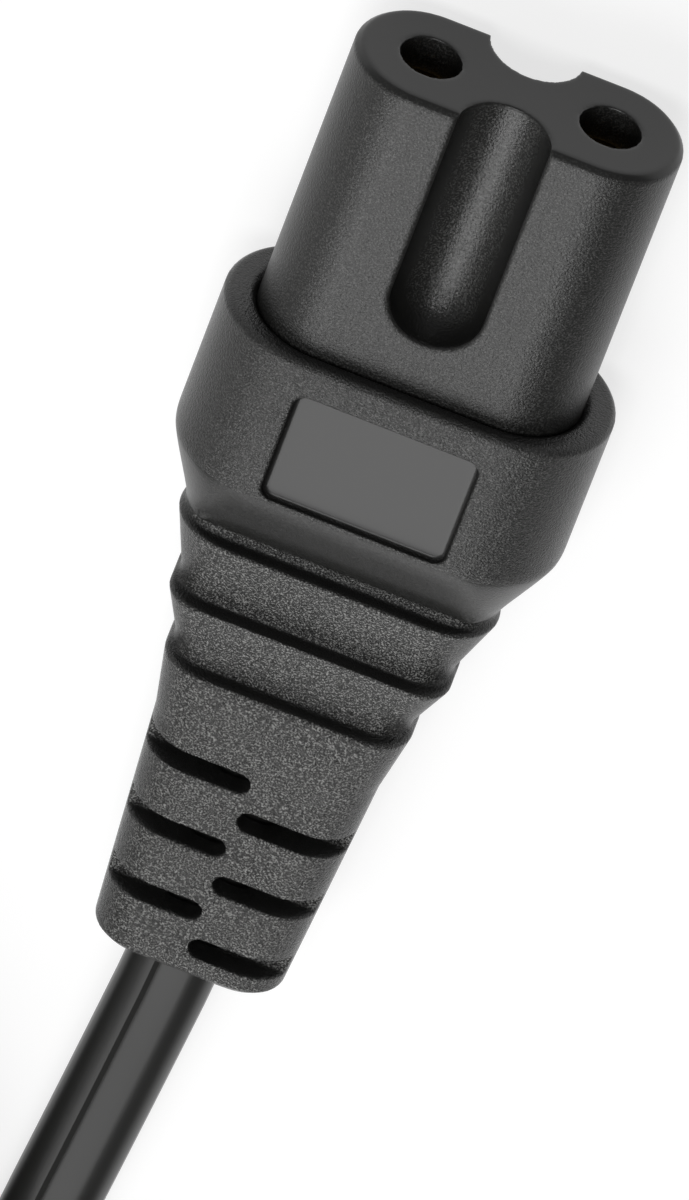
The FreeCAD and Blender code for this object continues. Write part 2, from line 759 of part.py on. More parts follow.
# Slots of the strain relief, staggered left and right, on the label face and the back
slots_in_row = 3
for face_name, face in {"label": 1, "back": -1}.items():
    for side, sign in sides.items():
        stagger = "slotStagger" if side == "left" else "0"
        slot_sketch = sketch_on(block, f"slot_outline_{face_name}_{side}", "XY_Plane", (
            f"{sign} * slotReach / 2",
            f"-(connectorLength - lastSlotSetback - {stagger})",
            f"{face} * slotWeb / 2",
        ))
        obround(slot_sketch, mm("slotReach"), mm("slotWidth"), "slotReach", "slotWidth")
        slot = feature(block, "Pocket", f"slot_{face_name}_{side}", slot_sketch)
        slot.Type = "ThroughAll"
        slot.Reversed = face > 0
        row = block.newObject("PartDesign::LinearPattern", f"slot_row_{face_name}_{side}")
        row.Originals = [slot]
        row.Direction = (origin_part(block, "Y_Axis"), [""])
        bind(row, "Length", f"{slots_in_row - 1} * slotPitch")
        row.Occurrences = slots_in_row
        block.Tip = row
doc.recompute()
finish(cut("overmould", block, fuse("connector_space", *connector_hollows, lead)), "connector_overmould")

# Coil and its tie


def upright_cylinder(name, radius, height):
    made = doc.addObject("Part::Cylinder", name)
    bind(made, "Radius", radius)
    bind(made, "Height", height)
    bind(made, "Placement.Base.x", "coilCentreX")
    bind(made, "Placement.Base.y", "coilCentreY")
    return made


def box(name, length, width, height):
    made = doc.addObject("Part::Box", name)
    for prop, formula in (("Length", length), ("Width", width), ("Height", height)):
        bind(made, prop, formula)
    return made


def across_bundle(made, radial, along, height):
    # Stands a solid at the tie, from its place along the coil's radius and round the coil.
    cosine, sine = "cos(tieAngle * 1 deg)", "sin(tieAngle * 1 deg)"
    bind(made, "Placement.Rotation.Angle", "tieAngle")
    bind(made, "Placement.Base.x", f"coilCentreX + ({radial}) * {cosine} - ({along}) * {sine}")
    bind(made, "Placement.Base.y", f"coilCentreY + ({radial}) * {sine} + ({along}) * {cosine}")
    bind(made, "Placement.Base.z", height)
    return made


bundle = "coilOuterRadius - coilInnerRadius + 2 * tieSlack"
band_inside = across_bundle(
    box("band_inside", bundle, "tieWidth", "coilHeight + tieSlack"),
    "coilInnerRadius - tieSlack", "-tieWidth / 2", "tieThickness")
band_outside = across_bundle(
    box("band_outside", f"{bundle} + 2 * tieThickness", "tieWidth",
        "coilHeight + tieSlack + 2 * tieThickness"),
    "coilInnerRadius - tieSlack - tieThickness", "-tieWidth / 2", "0")
twisted_ends = across_bundle(
    box("twisted_ends", "tieEndDiameter", "tieEndLength", "tieEndDiameter"),
    "(coilOuterRadius + coilInnerRadius - tieEndDiameter) / 2", "-tieEndLength",
    "coilHeight + tieSlack + 2 * tieThickness")
finish(fuse("tie", cut("tie_band", band_outside, band_inside), twisted_ends), "cord_tie")

ring = cut("coil_ring", upright_cylinder("coil_outside", "coilOuterRadius", "coilHeight"),
           upright_cylinder("coil_inside", "coilInnerRadius", "coilHeight"))
entry = box("coil_entry", "cordThickness", "coilEntryLength", "cordWidth")
bind(entry, "Placement.Base.x", "coilCentreX + coilOuterRadius - tieSlack - cordThickness")
bind(entry, "Placement.Base.y", "coilCentreY")
notch = across_bundle(
    box("tie_notch", f"{bundle} + 2 * tieThickness", "tieWidth + 2 * tieSlack", "tieThickness"),
    "coilInnerRadius - tieSlack - tieThickness", "-tieWidth / 2 - tieSlack", "0")
coil_with_entry = fuse("coil_with_entry", ring, entry)
finish(cut("coil", coil_with_entry, fuse("coil_cuts", notch, lead)), "cord_coil")

# Mains plug: two sleeved pins in a bridge, moulded over


def add_plug_pin(side, sign):
    x = side_x(sign, "plugPinSpacing")
    metal = fuse(
        f"pin_blank_{side}",
        cone(f"pin_tip_{side}", plug, x, "-plugPinLength", "plugPinTipDiameter", "plugPinDiameter",
             "plugPinTipLength"),
        cylinder(f"pin_shank_{side}", plug, x, "plugPinTipLength - plugPinLength", "plugPinDiameter",
                 "plugPinLength - sleeveLength - plugPinTipLength"),
        cylinder(f"pin_neck_{side}", plug, x, "-sleeveLength", "plugPinNeckDiameter",
                 "sleeveLength + plugPinRearLength"),
    )
    cup = cylinder(f"pin_cup_{side}", plug, x, "plugPinCupAt", "conductorDiameter", "plugPinCupDepth")
    finish(cut(f"pin_{side}", metal, cup), f"plug_pin_{side}")
    outside = cylinder(f"sleeve_outside_{side}", plug, x, "-sleeveLength", "sleeveDiameter",
                       "sleeveLength + sleeveRootLength")
    inside = cylinder(f"sleeve_inside_{side}", plug, x, "-sleeveLength", "plugPinNeckDiameter",
                      "sleeveLength + sleeveRootLength")
    sleeve = finish(cut(f"sleeve_{side}", outside, inside), f"plug_sleeve_{side}")
    return metal, sleeve


bridge_block = new_body("bridge_block", plug)
bridge_outline = stadium(bridge_block, "bridge_outline", "0", "bridgeWidth", "bridgeThickness")
pad(bridge_block, "bridge_pad", bridge_outline, "bridgeLength")
pins, sleeves, plug_hollows = [], [], [bridge_block]
for side, sign in sides.items():
    metal, sleeve = add_plug_pin(side, sign)
    pins.append(metal)
    sleeves.append(sleeve)
    stations = ("plugPinCupAt", "plugInsulationAt", "plugCoreBendAt", "plugCoreMergeAt", "plugJacketAt")
    plug_hollows.append(add_core(side, sign, "plug_", plug, "plugPinSpacing", stations))
finish(cut("bridge", bridge_block, fuse("bridge_bores", *pins, *sleeves)), "plug_bridge")


def plug_outline(body):
    # The plug seen from above: a block for the bridge, a taper and a relief for the cord.
    sketch = sketch_on(body, "plug_plan", "XY_Plane", ("0", "0", "-plugThickness / 2"))
    widths = ("plugWidth", "plugWidth", "plugNeckWidth", "plugReliefWidth")
    stations = (0, mm("plugFrontLength"), mm("plugRearAt"), mm("plugLength"))
    right = [Vec(mm(width) / 2, -station, 0) for width, station in zip(widths, stations)]
    corners = right + [Vec(-corner.x, corner.y, 0) for corner in reversed(right)]
    sketch.addGeometry([Part.LineSegment(a, b) for a, b in zip(corners, corners[1:] + corners[:1])])
    constrain(
        sketch,
        *(("Coincident", k, 2, (k + 1) % 8, 1, None) for k in range(8)),
        *(("Symmetric", k, 1, 6 - k, 2, -2, None) for k in range(4)),
        ("Vertical", 0, None),
        ("PointOnObject", 0, 1, -1, None),
        ("DistanceX", 6, 2, 0, 1, 2 * right[0].x, "plugWidth"),
        ("DistanceX", 5, 1, 1, 2, 2 * right[2].x, "plugNeckWidth"),
        ("DistanceX", 4, 1, 2, 2, 2 * right[3].x, "plugReliefWidth"),
        ("DistanceY", 0, 2, 0, 1, stations[1], "plugFrontLength"),
        ("DistanceY", 1, 2, 0, 1, stations[2], "plugRearAt"),
        ("DistanceY", 2, 2, 0, 1, stations[3], "plugLength"),
    )
    return sketch


def plug_slope(body, name):
    # The upper face falls from the end of the block to the cord.
    sketch = sketch_on(body, f"{name}_profile", "YZ_Plane", ("0", "0", "0"))
    high = Vec(-mm("plugFrontLength"), mm("plugThickness") / 2, 0)
    low = Vec(-mm("plugLength"), mm("plugReliefThickness") / 2, 0)
    corners = [high, low, Vec(low.x, high.y, 0)]
    sketch.addGeometry([Part.LineSegment(a, b) for a, b in zip(corners, corners[1:] + corners[:1])])
    constrain(
        sketch,
        *(("Coincident", k, 2, (k + 1) % 3, 1, None) for k in range(3)),
        ("Vertical", 1, None),
        ("Horizontal", 2, None),
        ("DistanceX", 0, 1, -1, 1, -high.x, "plugFrontLength"),
        ("DistanceY", -1, 1, 0, 1, high.y, "plugThickness / 2"),
        ("DistanceX", 0, 2, -1, 1, -low.x, "plugLength"),
        ("DistanceY", -1, 1, 0, 2, low.y, "plugReliefThickness / 2"),
    )
    return cut_across(body, name, sketch)


def long_edge(edge):
    box = edge.BoundBox
    return box.YLength > touching and box.ZMin * box.ZMax > 0


plug_block = new_body("plug_block", plug)
pad(plug_block, "plug_blank", plug_outline(plug_block), "plugThickness")
mirror_to_back(plug_block, "lower_slope", plug_slope(plug_block, "upper_slope"))
chamfer(plug_block, "plug_edges", "plugEdgeChamfer", long_edge)
chamfer(plug_block, "plug_face_edge", "plugFaceChamfer", lambda edge: edge.BoundBox.YMin > -touching)
chamfer(plug_block, "plug_relief_end", "plugReliefChamfer",
        lambda edge: edge.BoundBox.YMax < touching - mm("plugLength"))
plug_space = fuse("plug_space", *plug_hollows, *pins, *sleeves, tail)
finish(cut("plug_body", plug_block, plug_space), "plug_overmould")

# Every object has to have been made, and every sub-part has to be one sound solid
doc.recompute()
failed = [thing.Name for thing in doc.Objects if {"Invalid", "Error"} & set(thing.State)]
unsound = [thing.Label for thing in subparts
           if thing.Shape.isNull() or not thing.Shape.isValid() or len(thing.Shape.Solids) != 1]
if failed or unsound:
    raise RuntimeError(f"failed: {failed}, unsound: {unsound}")
os.makedirs("parts", exist_ok=True)
for thing in subparts:
    thing.Shape.exportStep(f"parts/{thing.Label}.step")
    box_of = thing.Shape.optimalBoundingBox()
    print(f"{thing.Label}: {thing.Shape.Volume:.1f} cubic mm, x {box_of.XMin:.2f} to {box_of.XMax:.2f},"
          f" y {box_of.YMin:.2f} to {box_of.YMax:.2f}, z {box_of.ZMin:.2f} to {box_of.ZMax:.2f}")
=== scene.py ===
import math

import bpy
import numpy as np
from mathutils import Matrix, Vector


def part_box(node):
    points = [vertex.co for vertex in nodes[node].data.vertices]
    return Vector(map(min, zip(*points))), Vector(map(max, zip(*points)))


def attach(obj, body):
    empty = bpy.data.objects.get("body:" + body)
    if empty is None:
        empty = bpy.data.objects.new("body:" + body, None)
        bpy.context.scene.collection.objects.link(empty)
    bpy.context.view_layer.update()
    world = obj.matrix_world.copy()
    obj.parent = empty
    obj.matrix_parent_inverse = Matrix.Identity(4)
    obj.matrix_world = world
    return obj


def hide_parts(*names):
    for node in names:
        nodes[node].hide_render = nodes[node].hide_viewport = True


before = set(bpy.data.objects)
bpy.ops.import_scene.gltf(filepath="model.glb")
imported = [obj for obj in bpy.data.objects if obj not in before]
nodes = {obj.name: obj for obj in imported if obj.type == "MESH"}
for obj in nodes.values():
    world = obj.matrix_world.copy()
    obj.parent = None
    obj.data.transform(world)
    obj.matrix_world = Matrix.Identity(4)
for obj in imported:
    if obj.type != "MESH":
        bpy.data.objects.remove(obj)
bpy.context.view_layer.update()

mm = 0.001
smoothAngle = math.radians(40)            # edges sharper than this stay sharp
bodyLow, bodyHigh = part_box("connector_overmould")
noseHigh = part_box("nose_insert")[1]
coilLow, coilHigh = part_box("cord_coil")
axisHeight = bodyHigh.z / 2
print("frame loaded with", len(nodes), "nodes")


# Small helpers for colours, nodes and pieces

def linear(hexColour):
    # sRGB to linear light, with the standard's own numbers
    channels = [int(hexColour[k:k + 2], 16) / 255 for k in (1, 3, 5)]
    light = [c / 12.92 if c <= 0.04045 else ((c + 0.055) / 1.055) ** 2.4 for c in channels]
    return (*light, 1.0)


def addNode(tree, kind, inputs, **settings):
    # an input given as a socket is linked, anything else is set on the input itself
    node = tree.nodes.new(kind)
    for name, value in settings.items():
        setattr(node, name, value)
    for name, value in inputs.items():
        if isinstance(value, bpy.types.NodeSocket):
            tree.links.new(value, node.inputs[name])
        else:
            node.inputs[name].default_value = value
    return node.outputs[0] if node.outputs else node


def newMaterial(name):
    material = bpy.data.materials.new(name)
    material.use_nodes = True
    material.node_tree.nodes.clear()
    return material, material.node_tree


def finishMaterial(tree, inputs):
    shader = addNode(tree, "ShaderNodeBsdfPrincipled", inputs)
    addNode(tree, "ShaderNodeOutputMaterial", {"Surface": shader})


def dress(piece, material):
    piece.data.materials.clear()
    piece.data.materials.append(material)


def selectOnly(piece):
    bpy.ops.object.select_all(action="DESELECT")
    piece.select_set(True)
    bpy.context.view_layer.objects.active = piece


def editAll(piece, operation, **settings):
    # one mesh operation on the whole piece
    selectOnly(piece)
    bpy.ops.object.mode_set(mode="EDIT")
    bpy.ops.mesh.select_all(action="SELECT")
    operation(**settings)
    bpy.ops.object.mode_set(mode="OBJECT")


def applyAll(piece):
    selectOnly(piece)
    for modifier in list(piece.modifiers):
        bpy.ops.object.modifier_apply(modifier=modifier.name)


def settle(piece):
    # place, turn and scale go into the mesh
    selectOnly(piece)
    bpy.ops.object.transform_apply(location=True, rotation=True, scale=True)


# Camera: above the nose and looking back at it, with the photograph's roll

cameraView = {
    "aim": Vector((0.90, -4.22, 4.35)) * mm,
    "away": Vector((0, 0.6, 0.8)),        # from the object to the camera
    "roll": math.radians(21.34),          # the connector's lean in the picture
    "frameHeight": 54.67 * mm,            # what the picture's 1200 pixels span at the aim
    "distance": 1.0,                      # far off, with next to no perspective
    "sensor": 36.0,                       # in the camera's own millimetres
    "farthest": 10.0,                     # nothing is drawn beyond this
}


def addCamera(view):
    data = bpy.data.cameras.new("photoCamera")
    camera = bpy.data.objects.new("photoCamera", data)
    bpy.context.scene.collection.objects.link(camera)
    data.sensor_width = view["sensor"]
    data.lens = view["sensor"] * view["distance"] / view["frameHeight"]
    data.clip_end = view["farthest"]
    across = Vector((1, 0, 0))
    along = view["away"].cross(across)
    right = across * math.cos(view["roll"]) + along * math.sin(view["roll"])
    up = along * math.cos(view["roll"]) - across * math.sin(view["roll"])
    turn = Matrix((right, up, view["away"])).transposed().to_4x4()
    camera.matrix_world = Matrix.Translation(view["aim"] + view["away"] * view["distance"]) @ turn
    bpy.context.scene.camera = camera


addCamera(cameraView)
print("camera placed")

# Cord: flat where it leaves the connector, on edge in the coil, flat again at the plug

coilCentre = (coilLow + coilHigh) / 2
coilTop = coilHigh.z
cordPiece = {
    "width": 4.42 * mm,
    "thickness": 2.8 * mm,
    "length": 1.5,
    "plugX": -50.9 * mm,
    "plugAxisHeight": coilTop + 6.85 * mm,
    "leadPoints": [(0, -6.55, 4.56), (0, -21.5, 4.56),
                   (-1.05, -37.0, 2.9), (-2.15, -51.0, 1.75)],    # mm, from the body to the coil
    "tailPoints": [(31.1, -12.0, 1.7), (24.2, -25.2, 1.7), (11.0, -32.1, 2.0),
                   (-3.8, -30.2, 3.0), (-14.8, -20.1, 5.1)],      # mm from the coil's centre and top
    "plugPoints": [-67.5, -56.6],         # mm along the plug's axis
    "outerLane": 30.75 * mm,              # radius of the outermost turn's middle
    "innerLane": 18.1 * mm,
    "bottomHeight": 2.27 * mm,
    "topHeight": 6.75 * mm,
    "bottomTurns": 4.4,
    "climbTurns": 0.5,
    "topTurns": 4.03,
    "pointsPerTurn": 30,
    "tieAngle": math.radians(60),
    "tieLift": 0.62 * mm,                 # the turns ride over the tie
    "tieSpread": math.radians(13),
    "stepsPerPoint": 4,
    "curveOrder": 3,
    "flatUntil": -44.0 * mm,              # y where the lead starts to turn on edge
    "turnLength": 30.0 * mm,
    "tailTurnLength": 34.0 * mm,
    "tailFlat": 26.0 * mm,                # of the cord's end, flat again for the plug
    "roundSteps": 9,
    "lineInset": 0.02 * mm,               # a shallow line runs along one edge of the upper flat
    "lineWidth": 0.48 * mm,
    "lineDepth": 0.1 * mm,
}


def ease(value, start, end):
    # from 0 to 1 with a gentle start and end
    share = np.clip((value - start) / (end - start), 0, 1)
    return share * share * (3 - 2 * share)


def runLengths(points):
    # how far along the row each point lies
    return np.concatenate([[0], np.cumsum(np.linalg.norm(np.diff(points, axis=0), axis=1))])


def coilPoints(cord):
    # clockwise seen from above: inwards below, up at the middle, outwards above
    climbStart = cord["bottomTurns"]
    climbEnd = climbStart + cord["climbTurns"]
    count = round((climbEnd + cord["topTurns"]) * cord["pointsPerTurn"])
    step = 2 * math.pi / cord["pointsPerTurn"]
    swell = 1 / math.cos(step / 2)        # the curve runs inside its control points by this much
    pitch = (cord["outerLane"] - cord["innerLane"]) / climbStart
    points = []
    for k in range(1, count + 1):
        turn = k / cord["pointsPerTurn"]
        angle = -turn * 2 * math.pi
        lane = cord["outerLane"] - pitch * min(turn, climbStart) + pitch * max(0.0, turn - climbEnd)
        climb = ease(turn, climbStart, climbEnd)
        height = cord["bottomHeight"] + (cord["topHeight"] - cord["bottomHeight"]) * climb
        offTie = (angle - cord["tieAngle"] + math.pi) % (2 * math.pi) - math.pi
        height += cord["tieLift"] * math.exp(-(offTie / cord["tieSpread"]) ** 2)
        points.append(Vector((coilCentre.x + lane * swell * math.cos(angle),
                              coilCentre.y + lane * swell * math.sin(angle), height)))
    return points


def cordRoute(cord):
    lead = [Vector(p) * mm for p in cord["leadPoints"]]
    top = Vector((coilCentre.x, coilCentre.y, coilTop))
    tail = [top + Vector(p) * mm for p in cord["tailPoints"]]
    plug = [Vector((cord["plugX"], y * mm, cord["plugAxisHeight"])) for y in cord["plugPoints"]]
    return lead + coilPoints(cord) + tail + plug


def smoothLine(points, cord):
    # the route's NURBS line, as points along it
    data = bpy.data.curves.new("cordLine", "CURVE")
    data.dimensions = "3D"
    data.resolution_u = cord["stepsPerPoint"]
    spline = data.splines.new("NURBS")
    spline.points.add(len(points) - 1)
    for point, place in zip(spline.points, points):
        point.co = (*place, 1.0)
    spline.order_u = cord["curveOrder"]
    spline.use_endpoint_u = True
    curve = bpy.data.objects.new("cordLine", data)
    bpy.context.scene.collection.objects.link(curve)
    mesh = bpy.data.meshes.new_from_object(curve)
    line = np.array([v.co for v in mesh.vertices])
    bpy.data.objects.remove(curve)
    bpy.data.meshes.remove(mesh)
    return line


def cordSection(cord):
    # half round ends joined by two flats, the upper one with its line, as (across, up) pairs
    radius, half = cord["thickness"] / 2, (cord["width"] - cord["thickness"]) / 2
    rim, middle = half - cord["lineInset"], half - cord["lineInset"] - cord["lineWidth"] / 2
    line = [(rim, radius), (middle, radius - cord["lineDepth"]), (rim - cord["lineWidth"], radius)]
    section = []
    for end, outward, rest in ((half, 0.0, line), (-half, math.pi, [])):
        for k in range(cord["roundSteps"]):
            angle = outward + math.pi * (k / (cord["roundSteps"] - 1) - 0.5)
            section.append((end + radius * math.cos(angle), radius * math.sin(angle)))
        section += rest
    return np.array(section)


def cordRolls(line, along, cord):
    # how far the section is turned on edge at each point of the line
    first = along[np.argmax(line[:, 1] < cord["flatUntil"])]
    last = along[-1] - cord["tailFlat"]
    turned = ease(along, first, first + cord["turnLength"])
    turnedBack = ease(along, last - cord["tailTurnLength"], last)
    return turned * (1 - turnedBack) * math.pi / 2


def cordRings(line, rolls, section):
    # the section at each point, square to the line
    forward = np.gradient(line, axis=0)
    forward /= np.linalg.norm(forward, axis=1)[:, None]
    side = np.cross(forward, (0, 0, 1))
    side /= np.linalg.norm(side, axis=1)[:, None]
    upward = np.cross(side, forward)
    across = side * np.cos(rolls)[:, None] + upward * np.sin(rolls)[:, None]
    over = upward * np.cos(rolls)[:, None] - side * np.sin(rolls)[:, None]
    return (line[:, None] + section[None, :, :1] * across[:, None]
            + section[None, :, 1:] * over[:, None])


def addLengths(mesh, along, section):
    # the cord's own UV: metres along and around
    edge = len(section)
    around = runLengths(section)
    rim = around[-1] + np.linalg.norm(section[0] - section[-1])
    lengths = mesh.uv_layers.new(name="lengthwise").data
    for face in mesh.polygons:
        for loop in face.loop_indices:
            ring, k = divmod(mesh.loops[loop].vertex_index, edge)
            wrapped = k == 0 and face.index % edge == edge - 1
            lengths[loop].uv = (along[ring], rim if wrapped else around[k])


def addCord(cord):
    line = smoothLine(cordRoute(cord), cord)
    along = runLengths(line)
    section = cordSection(cord)
    rings = cordRings(line, cordRolls(line, along, cord), section)
    count, edge = len(line), len(section)
    faces = [(i * edge + k, i * edge + (k + 1) % edge,
              (i + 1) * edge + (k + 1) % edge, (i + 1) * edge + k)
             for i in range(count - 1) for k in range(edge)]
    faces += [tuple(range(edge))[::-1], tuple(range((count - 1) * edge, count * edge))]
    mesh = bpy.data.meshes.new("flexCord")
    mesh.from_pydata(rings.reshape(-1, 3).tolist(), [], faces)
    addLengths(mesh, along, section)
    piece = bpy.data.objects.new("flexCord", mesh)
    bpy.context.scene.collection.objects.link(piece)
    editAll(piece, bpy.ops.mesh.normals_make_consistent, inside=False)
    bpy.ops.object.shade_smooth_by_angle(angle=smoothAngle)
    weighted = piece.modifiers.new("flatsStayFlat", "WEIGHTED_NORMAL")
    weighted.keep_sharp = True
    applyAll(piece)
    return piece, line, along[-1]


flexCord, cordLine, cordMade = addCord(cordPiece)
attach(flexCord, "root")
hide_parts("cord_lead", "cord_coil", "cord_tail")
print("cord made,", round(cordMade, 3), "m along its middle")

# Twist tie: a coated wire strip once round the turns, with its ends twisted together

twistTie = {
    "angle": cordPiece["tieAngle"],
    "width": 4.0 * mm,
    "thickness": 0.5 * mm,
    "slack": 0.2 * mm,
    "corner": 1.3 * mm,
    "cornerSteps": 6,
    "endLength": 9.0 * mm,
    "endThick": 1.5 * mm,
    "endFlatness": 0.55,                  # share of that thickness, measured the other way
    "endTurns": 2.5,
    "endCuts": 24,
    "innerRadius": 16.6 * mm,
    "outerRadius": 32.2 * mm,
}


def addBox(size, middle):
    bpy.ops.object.select_all(action="DESELECT")
    bpy.ops.mesh.primitive_cube_add(size=1, location=middle)
    box = bpy.context.object
    box.scale = size
    settle(box)
    return box


def openSides(box):
    # takes off the two faces that look along y
    selectOnly(box)
    bpy.ops.object.mode_set(mode="EDIT")
    bpy.ops.mesh.select_mode(type="FACE")
    bpy.ops.mesh.select_all(action="DESELECT")
    bpy.ops.object.mode_set(mode="OBJECT")
    for face in box.data.polygons:
        face.select = abs(face.normal.y) > abs(face.normal.x) + abs(face.normal.z)
    bpy.ops.object.mode_set(mode="EDIT")
    bpy.ops.mesh.delete(type="ONLY_FACE")
    bpy.ops.mesh.select_all(action="DESELECT")
    bpy.ops.object.mode_set(mode="OBJECT")


def addTie(tie):
    inside = tie["innerRadius"] - tie["slack"]
    outside = tie["outerRadius"] + tie["slack"]
    base, top = tie["thickness"], coilTop + tie["thickness"] + tie["slack"]
    middle = (inside + outside) / 2
    # the strip: an open box with round corners, which then gets its thickness
    band = addBox((outside - inside, tie["width"], top - base), (middle, 0, (base + top) / 2))
    band.name = "twistTie"
    openSides(band)
    for edge in band.data.edges:
        first, second = [band.data.vertices[v].co for v in edge.vertices]
        edge.select = abs(first.y - second.y) > tie["width"] / 2
    bpy.ops.object.mode_set(mode="EDIT")
    bpy.ops.mesh.select_mode(type="EDGE")
    bpy.ops.mesh.bevel(offset=tie["corner"], segments=tie["cornerSteps"])
    bpy.ops.object.mode_set(mode="OBJECT")
    wall = band.modifiers.new("strip", "SOLIDIFY")
    wall.thickness = tie["thickness"]
    wall.offset = 1                       # outwards
    applyAll(band)
    # the two ends, twisted together and pressed down on the band
    thick = tie["endThick"]
    ends = addBox((thick, thick * tie["endFlatness"], tie["endLength"]), (0, 0, 0))
    editAll(ends, bpy.ops.mesh.subdivide, number_cuts=tie["endCuts"])
    twist = ends.modifiers.new("twist", "SIMPLE_DEFORM")
    twist.deform_method = "TWIST"
    twist.deform_axis = "Z"
    twist.angle = tie["endTurns"] * 2 * math.pi
    applyAll(ends)
    ends.rotation_euler = (math.pi / 2, 0, 0)
    ends.location = (middle, -tie["endLength"] / 2, top + tie["thickness"] + thick / 2)
    settle(ends)
    band.select_set(True)
    bpy.context.view_layer.objects.active = band
    bpy.ops.object.join()
    band.rotation_euler = (0, 0, tie["angle"])
    band.location = (coilCentre.x, coilCentre.y, 0)
    settle(band)
    bpy.ops.object.shade_smooth_by_angle(angle=smoothAngle)
    return band


tieStrip = addTie(twistTie)
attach(tieStrip, "root")
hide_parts("cord_tie")
print("tie made")

# Moulded edges: a fine even mesh of the CAD solid, eased so that every edge is a little round,
# and far more so on the shoulder, whose slope has no visible ends

mouldedEdges = {
    "merge": 0.001 * mm,                  # points nearer than this become one
    "mesh": 0.11 * mm,
    "easing": 0.5,
    "rounds": 2,
    "triangles": 150000,
    "shoulder": (-1.0, -0.5, 2.0, 2.7),   # mm along y: rounding sets in, is full, fades, ends
    "shoulderCore": (5.0, 1.9),           # mm, half width and height of what is left alone inside
    "shoulderRounds": 300,
}


def softEdged(node, name, edges):
    piece = bpy.data.objects.new(name, node.data.copy())
    bpy.context.scene.collection.objects.link(piece)
    editAll(piece, bpy.ops.mesh.remove_doubles, threshold=edges["merge"])
    even = piece.modifiers.new("evenMesh", "REMESH")
    even.mode = "VOXEL"
    even.voxel_size = edges["mesh"]
    eased = piece.modifiers.new("easedEdges", "SMOOTH")
    eased.factor = edges["easing"]
    eased.iterations = edges["rounds"]
    applyAll(piece)
    bpy.ops.object.shade_smooth()
    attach(piece, "root")
    return piece


def roundShoulder(piece, edges):
    begin, full, fade, end = edges["shoulder"]
    halfWidth, halfHeight = edges["shoulderCore"]
    group = piece.vertex_groups.new(name="shoulder")
    for vertex in piece.data.vertices:
        x, y, z = vertex.co.x / mm, vertex.co.y / mm, (vertex.co.z - axisHeight) / mm
        weight = min((y - begin) / (full - begin), (end - y) / (end - fade), 1.0)
        if weight > 0 and (x / halfWidth) ** 2 + (z / halfHeight) ** 2 > 1:
            group.add([vertex.index], weight, "REPLACE")
    rounded = piece.modifiers.new("roundedShoulder", "SMOOTH")
    rounded.factor = edges["easing"]
    rounded.iterations = edges["shoulderRounds"]
    rounded.vertex_group = group.name
    applyAll(piece)


def lighten(piece, edges):
    # the flats need far fewer faces than the edges, and each face is two triangles
    sparse = piece.modifiers.new("sparseFlats", "DECIMATE")
    sparse.ratio = min(1.0, edges["triangles"] / (2 * len(piece.data.polygons)))
    applyAll(piece)


mouldedBody = softEdged(nodes["connector_overmould"], "mouldedBody", mouldedEdges)
roundShoulder(mouldedBody, mouldedEdges)
lighten(mouldedBody, mouldedEdges)
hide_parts("connector_overmould")
mouldedNose = softEdged(nodes["nose_insert"], "mouldedNose", mouldedEdges)
lighten(mouldedNose, mouldedEdges)
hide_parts("nose_insert")
print("body and nose moulded,", len(mouldedBody.data.polygons), "and",
      len(mouldedNose.data.polygons), "faces")

# Soft PVC from a spark-eroded mould: dull black, with the mould's fine grain on the body, coarser on
# the relief, faint on the slope and missing in the panel. Painted glints, pale flecks in the colour on
# what faces up, stand in for the grain's highlights, most on the necks, the collars and the relief.
# Grain and glints are drawn coarser than the real ones, so that they show.

overmouldFinish = {
    "colour": "#1b1b1a",
    # painted highlight: the colour of the glints mixed into the black
    "paintedGlint": "#9a9a98",                   # the grain's lit facets
    "glintSize": 0.09 * mm,
    "glintNoise": {"Detail": 1.0, "Roughness": 0.5},
    "glintFrom": (0.48, 0.72),            # the noise where a facet begins and where it is fully lit
    "glintShare": (0.88, 0.3),            # on the collars and the relief, and on the body
    "glintTurn": (-1.3 * mm, -1.15 * mm),                   # y from the one to the other
    # the painted glints stay on what faces up to the lamps
    "glintUpright": (0.55, 0.92),         # the normal's z, from the sides to the flats
    "grain": 0.1 * mm,
    "grainNoise": {"Detail": 2.0, "Roughness": 0.6},
    "grainRise": 0.07 * mm,
    "coarse": 0.13 * mm,
    "coarseNoise": {"Detail": 2.0, "Roughness": 0.65},
    "coarseRise": 0.1 * mm,
    "reliefStart": -8.9 * mm,
    "slope": (-1.15 * mm, 2.75 * mm),     # y of its two ends
    "slopeGrain": 0.35,                   # what is left of the grain there
    "panel": (4.45 * mm, 3.0 * mm, 9.1 * mm, 8.75 * mm),    # half width, both ends' y, highest z
    "dull": (0.36, 0.3),                  # roughness without the grain and with it
    "reliefGloss": 0.1,                   # the relief is less rough by this much
    "ior": 1.49,
}


